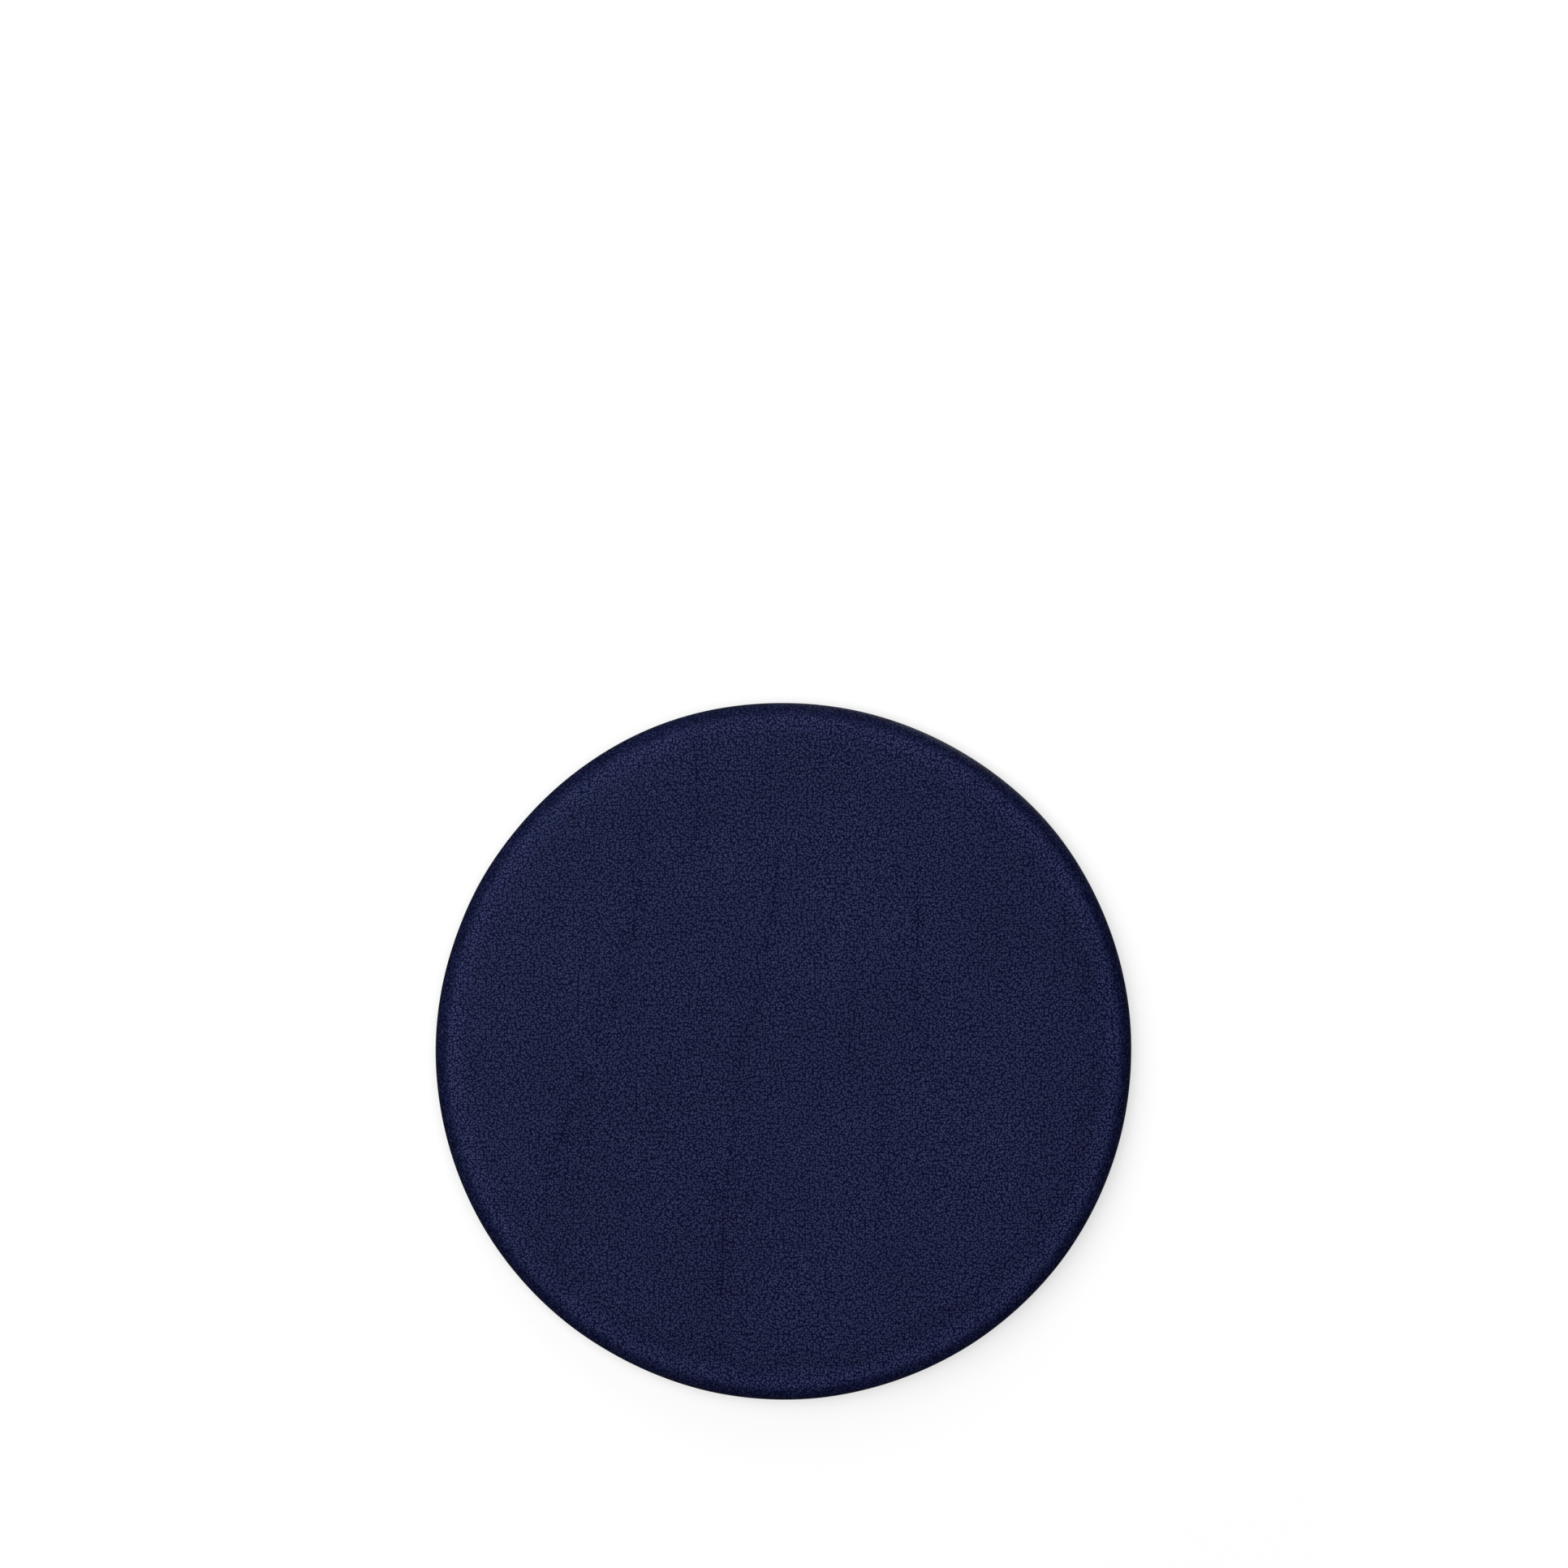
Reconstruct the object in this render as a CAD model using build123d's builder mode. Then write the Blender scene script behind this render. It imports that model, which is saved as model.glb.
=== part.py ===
"""Round leather seat pad with a zipped, anti-slip underside. Millimetres.

The pad lies on z = 0 with its centre on the Z axis. +Y is the rear, where the zip crosses
the underside, and +X is the end at which the zip closes.

From the bottom up: rubber dots, base panels, the leather's turned-under hem, and the insert,
which is wadding over foam in a thin casing. The zip runs in a shallow trench that its slider
and tab press into the insert, so nothing stands below the dots.
"""
import os
from math import pi

from build123d import *

# Whole pad
pad_radius = 175.0
crown_height = 22.0  # top of the seat, at its centre
rim_height = 20.0  # where the crown runs into the rounded rim
upper_rim_radius = 10.0
lower_rim_radius = 6.0

# Thickness of each layer
dots = 0.8
panel = 1.0
leather = 1.2
casing = 0.4
wadding = 4.0
label = 0.4

# Underside
hem_inner_radius = 160.0
panel_radius = 166.0
stitch_ring_radius = 163.5
grip_radius = 157.0
wadding_skirt_height = 10.0  # the wadding wraps the rim down to here

# Sewing thread
stitch_length = 3.6
stitch_width = 0.7
stitch_height = 0.35
stitch_pitch = 5.0

# Zip: its line, its window in the base, and its tapes
zip_y = 55.0
window_half_length = 139.0
window_half_width = 8.0
tape = 0.5
tape_half_width = 14.0
tape_half_length = 142.0
tape_flat_half_width = 4.3  # level beside the coils, then down to the panels
tape_row_offset = 10.5  # the stitches that hold the tapes

# Trench in the insert, with room for the tapes to part when the zip is open: half widths
trench_head = 9.2
trench_foot = 12.6
tape_bed = 17.6

# Zip coils
coil_width = 2.05
coil_height = 1.6
coil_gap = 0.05  # from the zip's centre line to each coil
coil_left = -125.6
spread = 1.1  # how far each coil stands aside at the slider's front

# Slider and tab
slider_x = 128.0  # centre of the slider when the zip is closed
slider_length = 8.8
slider_wall = 0.6
running_gap = 0.15
slider_corner = 0.9
wedge_half_width = 0.85
wedge_length = 4.5
wedge_back = 0.3  # how far the wedge starts behind the slider's centre
wedge_taper = 1.5  # length of its rear point
wedge_nose = 1.0  # length of its front point
lug_length = 4.4
lug_width = 1.6
lug_drop = 2.1
lug_leg = 0.8  # length of each of the lug's legs
hinge_drop = 0.75  # from the slider's lower plate to the tab's bar
tab_length = 15.0
tab_width = 5.0
tab_thickness = 1.0
tab_corner = 1.8
tab_window_length = 2.9
tab_window_half_width = 1.1
tab_hole_radius = 0.9
tab_hole_inset = 2.6  # from the tab's free end to its hole
stop_length = 2.4
stop_height = 2.6
top_stop_width = 2.6
bottom_stop_width = 5.0
stop_web = 0.6  # half the width of the bottom stop's web, between the two tapes
tape_slot = 4.0  # wider than the grip of either stop

# Care label, on the front panel beside the zip
label_length = 34.0
label_width = 20.0
label_x = -70.0
label_y = zip_y - tape_half_width - 2.5 - label_width / 2
label_stitch_length = 2.4
label_stitch_width = 0.5
label_stitch_height = 0.25
label_stitch_pitch = 3.4
label_stitch_count = 9
label_stitch_inset = 1.5  # from the label's long edges

# Bars of thread across the ends of the zip window
bartack_width = 1.6
bartack_gap = 1.3  # from the window's end to the middle of the bar

# Levels
panel_top = dots + panel
cover_bottom = panel_top
lug_bottom = 0.3
slider_bottom = lug_bottom + lug_drop
channel_bottom = slider_bottom + slider_wall
coil_bottom = channel_bottom + running_gap
tape_bottom = coil_bottom + coil_height
channel_top = tape_bottom + tape + running_gap
slider_top = channel_top + slider_wall
trench_top = slider_top + 0.4
hinge_height = slider_bottom - hinge_drop

# Where the coils part, and where they end
split_start = slider_x - 2.5
split_end = slider_x + 0.5
coil_right = slider_x + slider_length / 2 + 0.3


def save(piece, name):
    """Label a finished piece and write its STEP file."""
    piece.part.label = name
    export_step(piece.part, f"parts/{name}.step")


def envelope(inset, mode=Mode.ADD):
    """Revolve the pad's cross-section, pulled in by inset, into the part being built."""
    toe = pad_radius - lower_rim_radius
    shoulder = pad_radius - upper_rim_radius
    bottom = cover_bottom + inset
    lower_centre = (toe, cover_bottom + lower_rim_radius)
    upper_centre = (shoulder, rim_height - upper_rim_radius)
    with BuildSketch(Plane.XZ) as section:
        with BuildLine():
            Line((0, bottom), (toe, bottom))
            lower = CenterArc(lower_centre, lower_rim_radius - inset, -90, 90)
            upper = CenterArc(upper_centre, upper_rim_radius - inset, 0, 90)
            Line(lower @ 1, upper @ 0)
            TangentArc((0, crown_height - inset), upper @ 1, tangent=(1, 0))
            Line((0, crown_height - inset), (0, bottom))
        make_face()
    revolve(section.sketch, axis=Axis.Z, mode=mode)


def insert_shape(skin):
    """The insert with its zip trench, pulled in by skin, into the part being built."""
    envelope(leather + skin)
    with BuildSketch(Plane.XY.offset(panel_top + skin)) as base:
        Circle(hem_inner_radius - 2 - skin)
    extrude(base.sketch, amount=leather + 1)
    head = trench_head + skin
    foot = trench_foot + skin
    bed = tape_bed + skin
    low = panel_top + tape + 0.1 + skin
    high = trench_top + skin
    with BuildSketch(Plane.YZ) as trench:
        with Locations((zip_y, 0)):
            Polygon(
                (-bed, 0),
                (-bed, low),
                (-foot, low),
                (-head, high),
                (head, high),
                (foot, low),
                (bed, low),
                (bed, 0),
                align=None,
            )
    extrude(trench.sketch, amount=tape_half_length + 2 + skin, both=True, mode=Mode.SUBTRACT)


def front_or_rear(side, offset):
    """Cut the sketch back to one side of a line that runs offset away from the zip."""
    keep_away = Align.MAX if side > 0 else Align.MIN
    with Locations((0, zip_y + side * offset)):
        Rectangle(2 * pad_radius, 3 * pad_radius, align=(Align.CENTER, keep_away), mode=Mode.SUBTRACT)


def coil_edge(offset):
    """One edge of a coil, offset from the zip's centre line, from the open end to the closed end."""
    return [
        (coil_left, offset),
        (split_start, offset),
        (split_end, offset + spread),
        (coil_right, offset + spread),
    ]


def at_slider(height):
    """A level plane centred on the slider."""
    return Plane((slider_x, zip_y, height))


def slider_plan(wall):
    """Plan of the slider's channel with walls of this thickness: narrow over the joined coils, wide
    where they part."""
    rear = coil_gap + coil_width + 0.2 + wall
    front = rear + spread
    half = slider_length / 2
    widen_start = split_start - slider_x
    widen_end = split_end - slider_x
    side = [(-half, rear), (widen_start, rear), (widen_end, front), (half, front)]
    Polygon(*side, *[(x, -y) for x, y in reversed(side)], align=None)


os.makedirs("parts", exist_ok=True)

# Cover ----------------------------------------------------------------------------------------

# Leather drawn over the rim in one piece, its hem turned under all round
with BuildPart() as top_cover:
    envelope(0)
    envelope(leather, Mode.SUBTRACT)
    with BuildSketch(Plane.XY):
        Circle(hem_inner_radius)
    extrude(amount=cover_bottom + 2 * leather, mode=Mode.SUBTRACT)
save(top_cover, "top_cover")

# Woven base in two panels, which meet beyond the ends of the zip window
for side, name in ((-1, "base_panel_front"), (1, "base_panel_rear")):
    with BuildPart() as base_panel:
        with BuildSketch(Plane.XY.offset(dots)):
            Circle(panel_radius)
            front_or_rear(side, 0)
            with Locations((0, zip_y)):
                Rectangle(2 * window_half_length, 2 * window_half_width, mode=Mode.SUBTRACT)
        extrude(amount=panel)
    save(base_panel, name)

# Anti-slip dots, drawn as one sheet as high as they are, cut away around the care label
for side, name in ((-1, "grip_layer_front"), (1, "grip_layer_rear")):
    with BuildPart() as grip_layer:
        with BuildSketch(Plane.XY):
            Circle(grip_radius)
            front_or_rear(side, tape_half_width + 1)
            with Locations((label_x, label_y + 1)):
                Rectangle(label_length + 6, label_width + 8, mode=Mode.SUBTRACT)
        extrude(amount=dots)
    save(grip_layer, name)

# Stitches through the base and the leather's hem
with BuildPart() as hem_stitches:
    with BuildSketch(Plane.XY.offset(dots - stitch_height)):
        with PolarLocations(stitch_ring_radius, round(2 * pi * stitch_ring_radius / stitch_pitch)):
            SlotOverall(stitch_length, stitch_width, rotation=90)
    extrude(amount=stitch_height)
save(hem_stitches, "hem_stitches")

# Insert ---------------------------------------------------------------------------------------

with BuildPart() as filling:
    insert_shape(casing)

with BuildPart() as insert_casing:
    insert_shape(0)
    add(filling.part, mode=Mode.SUBTRACT)
save(insert_casing, "insert_casing")

with BuildPart() as topper_wadding:
    envelope(leather + casing)
    envelope(leather + casing + wadding, Mode.SUBTRACT)
    with BuildSketch(Plane.XY):
        Circle(pad_radius)
    extrude(amount=wadding_skirt_height, mode=Mode.SUBTRACT)
save(topper_wadding, "topper_wadding")

with BuildPart() as foam_core:
    add(filling.part)
    add(topper_wadding.part, mode=Mode.SUBTRACT)
save(foam_core, "foam_core")

# Zip ------------------------------------------------------------------------------------------

bottom_stop_x = coil_left - 0.2 - stop_length / 2
top_stop_x = coil_right + 0.1 + stop_length / 2
stop_bottom = coil_bottom - 0.1

for side, tape_name, coil_name in (
    (-1, "zip_tape_front", "zip_coil_front"),
    (1, "zip_tape_rear", "zip_coil_rear"),
):
    # Tape: level under the coil, then down to the panel that it is sewn to
    with BuildPart() as zip_tape:
        with BuildSketch(Plane.YZ):
            with Locations((zip_y, 0)):
                Polygon(
                    (0, tape_bottom),
                    (side * tape_flat_half_width, tape_bottom),
                    (side * window_half_width, panel_top),
                    (side * tape_half_width, panel_top),
                    (side * tape_half_width, panel_top + tape),
                    (side * (window_half_width + 0.2), panel_top + tape),
                    (side * (tape_flat_half_width + 0.2), tape_bottom + tape),
                    (0, tape_bottom + tape),
                    align=None,
                )
        extrude(amount=tape_half_length, both=True)
        # The inner edges stand apart at the slider, and at the bottom stop's web
        edge = [(-pad_radius, 2 * coil_gap)] + coil_edge(2 * coil_gap)[1:3]
        edge.append((pad_radius, 2 * coil_gap + spread))
        with BuildSketch(Plane.XY):
            with Locations((0, zip_y)):
                Polygon(*edge, *[(x, -y) for x, y in reversed(edge)], align=None)
            with Locations((bottom_stop_x, zip_y)):
                Rectangle(stop_length + 0.4, 2 * stop_web)
        extrude(amount=crown_height, mode=Mode.SUBTRACT)
    save(zip_tape, tape_name)

    # Coil: one nylon filament, drawn as the bar that its turns fill
    with BuildPart() as zip_coil:
        outline = coil_edge(coil_gap) + coil_edge(coil_gap + coil_width)[::-1]
        with BuildSketch(Plane.XY.offset(coil_bottom)):
            Polygon(*[(x, zip_y + side * y) for x, y in outline], align=None)
        extrude(amount=coil_height)
    save(zip_coil, coil_name)

# A clip on each tape's edge, past the slider
with BuildPart() as zip_top_stops:
    inner = 2 * coil_gap + spread  # the tapes' edges here
    for side in (-1, 1):
        with BuildSketch(Plane.XY.offset(stop_bottom)):
            with Locations((top_stop_x, zip_y + side * (inner + 0.8))):
                Rectangle(stop_length, top_stop_width)
        extrude(amount=stop_height)
        with BuildSketch(Plane.XY.offset(tape_bottom)):
            with Locations((top_stop_x, zip_y + side * (inner + tape_slot / 2))):
                Rectangle(stop_length, tape_slot)
        extrude(amount=tape, mode=Mode.SUBTRACT)
save(zip_top_stops, "zip_top_stops")

# One clip over both tapes, at the open end
with BuildPart() as zip_bottom_stop:
    with BuildSketch(Plane.XY.offset(stop_bottom)):
        with Locations((bottom_stop_x, zip_y)):
            Rectangle(stop_length, bottom_stop_width)
    extrude(amount=stop_height)
    for side in (-1, 1):
        with BuildSketch(Plane.XY.offset(tape_bottom)):
            with Locations((bottom_stop_x, zip_y + side * (stop_web + tape_slot / 2))):
                Rectangle(stop_length, tape_slot)
        extrude(amount=tape, mode=Mode.SUBTRACT)
save(zip_bottom_stop, "zip_bottom_stop")

with BuildPart() as zip_slider:
    with BuildSketch(at_slider(slider_bottom)) as plates:
        slider_plan(slider_wall)
        ends = plates.vertices().sort_by(Axis.X)
        fillet(ends[:2] + ends[-2:], slider_corner)
    extrude(amount=slider_top - slider_bottom)
    with BuildSketch(at_slider(channel_bottom)):
        slider_plan(0)
    extrude(amount=channel_top - channel_bottom, mode=Mode.SUBTRACT)
    # Slots in both sides for the tapes
    with BuildSketch(at_slider(tape_bottom - running_gap)):
        Rectangle(slider_length, 4 * slider_length)
    extrude(amount=tape + 2 * running_gap, mode=Mode.SUBTRACT)
    # The wedge that parts the coils, which also joins the two plates
    with BuildSketch(at_slider(channel_bottom)):
        back = -wedge_back
        front = back + wedge_length
        half = [(back + wedge_taper, wedge_half_width), (front - wedge_nose, wedge_half_width)]
        Polygon((back, 0), *half, (front, 0), *[(x, -y) for x, y in reversed(half)], align=None)
    extrude(amount=channel_top - channel_bottom)
    # The lug that the tab hangs on
    with BuildSketch(Plane.XZ.offset(-zip_y)) as lug:
        with Locations((slider_x, slider_bottom - lug_drop / 2)):
            Rectangle(lug_length, lug_drop)
        fillet(lug.vertices().group_by(Axis.Y)[0], slider_corner)
        with Locations((slider_x, hinge_height)):
            Rectangle(lug_length - 2 * lug_leg, 2 * hinge_drop, mode=Mode.SUBTRACT)
    extrude(amount=lug_width / 2, both=True)
save(zip_slider, "zip_slider")

# Tab, folded flat along the closed coils
with BuildPart() as zip_pull:
    with BuildSketch(at_slider(hinge_height - tab_thickness / 2)) as tab:
        Rectangle(tab_length, tab_width, align=(Align.MAX, Align.CENTER))
        fillet(tab.vertices().group_by(Axis.X)[0], tab_corner)
        with Locations((-tab_window_length / 2, 0)):
            Rectangle(tab_window_length, 2 * tab_window_half_width, mode=Mode.SUBTRACT)
        with Locations((tab_hole_inset - tab_length, 0)):
            Circle(tab_hole_radius, mode=Mode.SUBTRACT)
    extrude(amount=tab_thickness)
    # The round bar that turns in the lug
    with BuildSketch(Plane.XZ.offset(-zip_y)):
        with Locations((slider_x, hinge_height)):
            Circle(tab_thickness / 2)
    extrude(amount=tab_width / 2, both=True)
save(zip_pull, "zip_pull")

# Stitches that hold the tapes to the panels
row_count = round(2 * window_half_length / stitch_pitch)
for side, name in ((-1, "zip_stitches_front"), (1, "zip_stitches_rear")):
    with BuildPart() as zip_stitches:
        with BuildSketch(Plane.XY.offset(dots - stitch_height)):
            with Locations((0, zip_y + side * tape_row_offset)):
                with GridLocations(stitch_pitch, 1, row_count, 1):
                    SlotOverall(stitch_length, stitch_width)
        extrude(amount=stitch_height)
    save(zip_stitches, name)

# Dense bars of thread across the ends of the window
with BuildPart() as zip_end_bartacks:
    with BuildSketch(Plane.XY.offset(dots - stitch_height)):
        with Locations((0, zip_y)):
            with GridLocations(2 * (window_half_length + bartack_gap), 1, 2, 1):
                SlotOverall(2 * window_half_width, bartack_width, rotation=90)
    extrude(amount=stitch_height)
save(zip_end_bartacks, "zip_end_bartacks")

# Care label -----------------------------------------------------------------------------------

with BuildPart() as care_label:
    with BuildSketch(Plane.XY.offset(dots - label)):
        with Locations((label_x, label_y)):
            Rectangle(label_length, label_width)
    extrude(amount=label)
save(care_label, "care_label")

with BuildPart() as care_label_stitches:
    with BuildSketch(Plane.XY.offset(dots - label - label_stitch_height)):
        with Locations((label_x, label_y)):
            rows_apart = label_width - 2 * label_stitch_inset
            with GridLocations(label_stitch_pitch, rows_apart, label_stitch_count, 2):
                SlotOverall(label_stitch_length, label_stitch_width)
    extrude(amount=label_stitch_height)
save(care_label_stitches, "care_label_stitches")
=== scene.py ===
"""Looks of the round leather seat pad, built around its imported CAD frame.

Lengths are in metres in the frame that the CAD model uses: the pad lies on z = 0, +Y is the
rear, where the zip crosses the underside, and the zip closes towards +X.
"""
from math import asin, atan, atan2, copysign, cos, degrees, exp, hypot, pi, radians, sin, sqrt

import bpy
import numpy as np
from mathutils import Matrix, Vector, noise
from mathutils.geometry import delaunay_2d_cdt


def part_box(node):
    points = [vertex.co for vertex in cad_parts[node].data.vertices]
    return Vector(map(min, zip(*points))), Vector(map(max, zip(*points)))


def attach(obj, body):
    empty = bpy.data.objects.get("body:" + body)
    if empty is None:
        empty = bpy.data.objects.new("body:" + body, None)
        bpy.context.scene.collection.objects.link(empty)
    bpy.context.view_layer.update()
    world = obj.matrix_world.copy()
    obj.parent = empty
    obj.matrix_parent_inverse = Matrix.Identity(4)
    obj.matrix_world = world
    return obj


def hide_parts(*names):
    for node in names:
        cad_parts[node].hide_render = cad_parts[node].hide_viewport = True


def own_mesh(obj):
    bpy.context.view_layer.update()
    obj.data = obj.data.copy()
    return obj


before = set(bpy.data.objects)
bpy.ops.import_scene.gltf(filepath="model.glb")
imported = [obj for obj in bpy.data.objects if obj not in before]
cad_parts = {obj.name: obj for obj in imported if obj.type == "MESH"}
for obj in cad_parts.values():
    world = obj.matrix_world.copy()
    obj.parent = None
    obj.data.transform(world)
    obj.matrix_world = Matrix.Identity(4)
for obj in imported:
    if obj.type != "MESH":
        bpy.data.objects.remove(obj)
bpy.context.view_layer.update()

MM = 0.001

# Places taken from the frame ----------

cover_low, cover_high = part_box("top_cover")
PAD_RADIUS = cover_high.x
CROWN = cover_high.z
HEM_LEVEL = cover_low.z
PANEL_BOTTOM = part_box("base_panel_front")[0].z
PANEL_RADIUS, _, PANEL_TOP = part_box("base_panel_front")[1]
slider_low, slider_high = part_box("zip_slider")
ZIP_Y = (slider_low.y + slider_high.y) / 2
SLIDER_X = (slider_low.x + slider_high.x) / 2
coil_low, coil_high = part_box("zip_coil_rear")
tape_low, tape_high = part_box("zip_tape_rear")
GRIP_RADIUS, GRIP_FRONT, DOT_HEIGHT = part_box("grip_layer_front")[1]
GRIP_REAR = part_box("grip_layer_rear")[0].y
label_low, label_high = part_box("care_label")
LABEL_MIDDLE = (label_low + label_high) / 2
LABEL_HALF = (label_high - label_low) / 2
# Half the zip's window, across and along
WINDOW_SIDE = 8 * MM
WINDOW_END = 139 * MM
STITCH_RING = 163.5 * MM  # the hem's circle of stitches
STITCH_PITCH = 5 * MM
TAPE_ROW = 10.5 * MM  # from the zip's line to each row of stitches beside it
# How far the coils stand apart at the slider's front, and where they part
COIL_SPREAD = 1.1 * MM
SPLIT_START = SLIDER_X - 2.5 * MM
SPLIT_END = SLIDER_X + 0.5 * MM


def smooth(value, low, high):
    """0 below low, 1 above high, and a smooth step between. Works on arrays too."""
    t = np.clip((value - low) / (high - low), 0, 1)
    return t * t * (3 - 2 * t)


def polar(radius, angle):
    """The place at a radius and an angle."""
    return radius * cos(angle), radius * sin(angle)


def unevenness(x, y, scale, seed):
    """Smooth noise about 0 over the pad."""
    return noise.noise(Vector((x * scale, y * scale, seed)))


# Materials ----------

MATERIALS = {}


class Paint:
    """A new material in MATERIALS, with short calls for the nodes of its tree."""

    def __init__(self, name):
        MATERIALS[name] = bpy.data.materials.new(name)
        MATERIALS[name].use_nodes = True
        self.tree = MATERIALS[name].node_tree
        self.tree.nodes.clear()
        self.shader = self.node("BsdfPrincipled")
        self.output = self.node("OutputMaterial")
        self.feed(self.output.inputs[0], self.shader.outputs[0])
        self.where = self.node("TexCoord").outputs["Object"]

    def feed(self, socket, value):
        if isinstance(value, bpy.types.NodeSocket):
            self.tree.links.new(value, socket)
        elif socket.type == "RGBA":
            socket.default_value = (*value, 1)
        else:
            socket.default_value = value

    def node(self, kind, inputs=(), **settings):
        made = self.tree.nodes.new("ShaderNode" + kind)
        for name, value in settings.items():
            setattr(made, name, value)
        for name, value in dict(inputs).items():
            self.feed(made.inputs[name], value)
        return made

    def maths(self, operation, *values, clamp=False):
        made = self.node("Math", operation=operation, use_clamp=clamp)
        for i, value in enumerate(values):
            self.feed(made.inputs[i], value)
        return made.outputs[0]

    def plus(self, first, second):
        return self.maths("ADD", first, second)

    def minus(self, first, second):
        return self.maths("SUBTRACT", first, second)

    def times(self, first, second):
        return self.maths("MULTIPLY", first, second)

    def line(self, value, slope, start):
        """A value times slope, plus start."""
        return self.maths("MULTIPLY_ADD", value, slope, start)

    def vector(self, operation, *values):
        made = self.node("VectorMath", operation=operation)
        for i, value in enumerate(values):
            self.feed(made.inputs[i], value)
        return made.outputs[0]

    def stretch(self, value, factors):
        """A place or a colour times a factor for each of its parts."""
        return self.vector("MULTIPLY", value, factors)

    def split(self, place):
        made = self.node("SeparateXYZ", {"Vector": place})
        return made.outputs[0], made.outputs[1], made.outputs[2]

    def radius(self):
        """Distance from the pad's axis."""
        x, y, _ = self.split(self.where)
        return self.maths("SQRT", self.plus(self.times(x, x), self.times(y, y)))

    def grain(self, scale, detail=2.0, roughness=0.5, place=None):
        """Noise about 0.5."""
        inputs = {"Vector": place or self.where, "Scale": scale, "Detail": detail, "Roughness": roughness}
        return self.node("TexNoise", inputs).outputs["Fac"]

    def cells(self, scale, place=None, randomness=1.0, dimensions="3D"):
        """Distance to the nearest cell's middle."""
        inputs = {"Vector": place or self.where, "Scale": scale, "Randomness": randomness}
        return self.node("TexVoronoi", inputs, voronoi_dimensions=dimensions).outputs["Distance"]

    def warp(self, scale, amount, place=None):
        """A place pushed about by noise."""
        place = place or self.where
        made = self.node("TexNoise", {"Vector": place, "Scale": scale, "Detail": 2.0})
        push = self.vector("SUBTRACT", made.outputs["Color"], (0.5, 0.5, 0.5))
        return self.vector("ADD", place, self.stretch(push, (amount, amount, amount)))

    def step(self, value, low, high, to_low=0.0, to_high=1.0):
        inputs = {"Value": value, "From Min": low, "From Max": high, "To Min": to_low, "To Max": to_high}
        return self.node("MapRange", inputs, interpolation_type="SMOOTHSTEP").outputs["Result"]

    def mix(self, factor, first, second, blend="MIX"):
        made = self.node("Mix", data_type="RGBA", blend_type=blend)
        for i, value in ((0, factor), (6, first), (7, second)):
            self.feed(made.inputs[i], value)
        return made.outputs[2]

    def tint(self, colour, factor):
        """A colour made lighter or darker by a factor."""
        grey = self.node("CombineColor", {"Red": factor, "Green": factor, "Blue": factor})
        return self.mix(1.0, colour, grey.outputs[0], "MULTIPLY")

    def set(self, **values):
        for name, value in values.items():
            self.feed(self.shader.inputs[name.replace("_", " ")], value)

    def finish(self, colour, roughness, height, depth, strength, **more):
        """Sets the surface. Where height is 1 its bumps rise by depth."""
        bump = self.node("Bump", {"Height": height, "Distance": depth, "Strength": strength})
        self.set(Base_Color=colour, Roughness=roughness, Normal=bump.outputs[0], **more)


# Long creases in the hide, seen from above: points in mm, rear end first, and a strength
HIDE_CREASES = (
    (((-71, 114), (-74, 70), (-83, 32), (-94, 5), (-109, -36), (-119, -70)), 1.0),
    (((-3, 96), (-13, 28), (-21, 0), (-25, -42), (-29, -67), (-31, -111), (-32, -153)), 0.9),
    (((67, 80), (67, 54), (67, 10), (80, -21)), 0.6),
    (((35, 60), (35, 36), (31, -16)), 0.5),
    (((49, -15), (49, -34), (51, -70)), 0.6),
    (((-44, 160), (-44, 148), (-43, 119), (-46, 95)), 0.7),
)


def hide_crease(paint, place, points):
    """Distance sideways from a place to one long crease, and 1 along it, 0 past its ends."""
    x, y, _ = paint.split(place)
    top, bottom = points[0][1] * MM, points[-1][1] * MM
    reach = 130 * MM  # a crease's sideways range, which its curve node spans
    along = paint.maths("DIVIDE", paint.minus(y, bottom), top - bottom, clamp=True)
    curve = paint.node("FloatCurve", {"Value": along})
    line = curve.mapping.curves[0]
    knots = sorted(((py * MM - bottom) / (top - bottom), px * MM / (2 * reach) + 0.5) for px, py in points)
    line.points[0].location = knots[0]
    line.points[1].location = knots[-1]
    for knot in knots[1:-1]:
        line.points.new(*knot)
    curve.mapping.update()
    centre = paint.times(paint.minus(curve.outputs[0], 0.5), 2 * reach)
    away = paint.maths("ABSOLUTE", paint.minus(x, centre))
    end = 12 * MM  # over which a crease fades out
    inside = paint.times(paint.step(y, bottom - end, bottom + end), paint.step(y, top - end, top + end, 1, 0))
    return away, inside


def crease_marks(paint, place):
    """1 in the middle of each long crease: they deepen the leather's net here and there."""
    marks = None
    for points, strength in HIDE_CREASES:
        away, inside = hide_crease(paint, place, points)
        core = paint.step(away, 0, 1.1 * MM, strength, 0)
        band = paint.step(away, 0, 7 * MM, 0.22 * strength, 0)
        mark = paint.times(paint.maths("MAXIMUM", core, band), inside)
        marks = mark if marks is None else paint.maths("MAXIMUM", marks, mark)
    return paint.times(marks, paint.step(paint.grain(140, 1.0), 0.38, 0.60))


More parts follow.
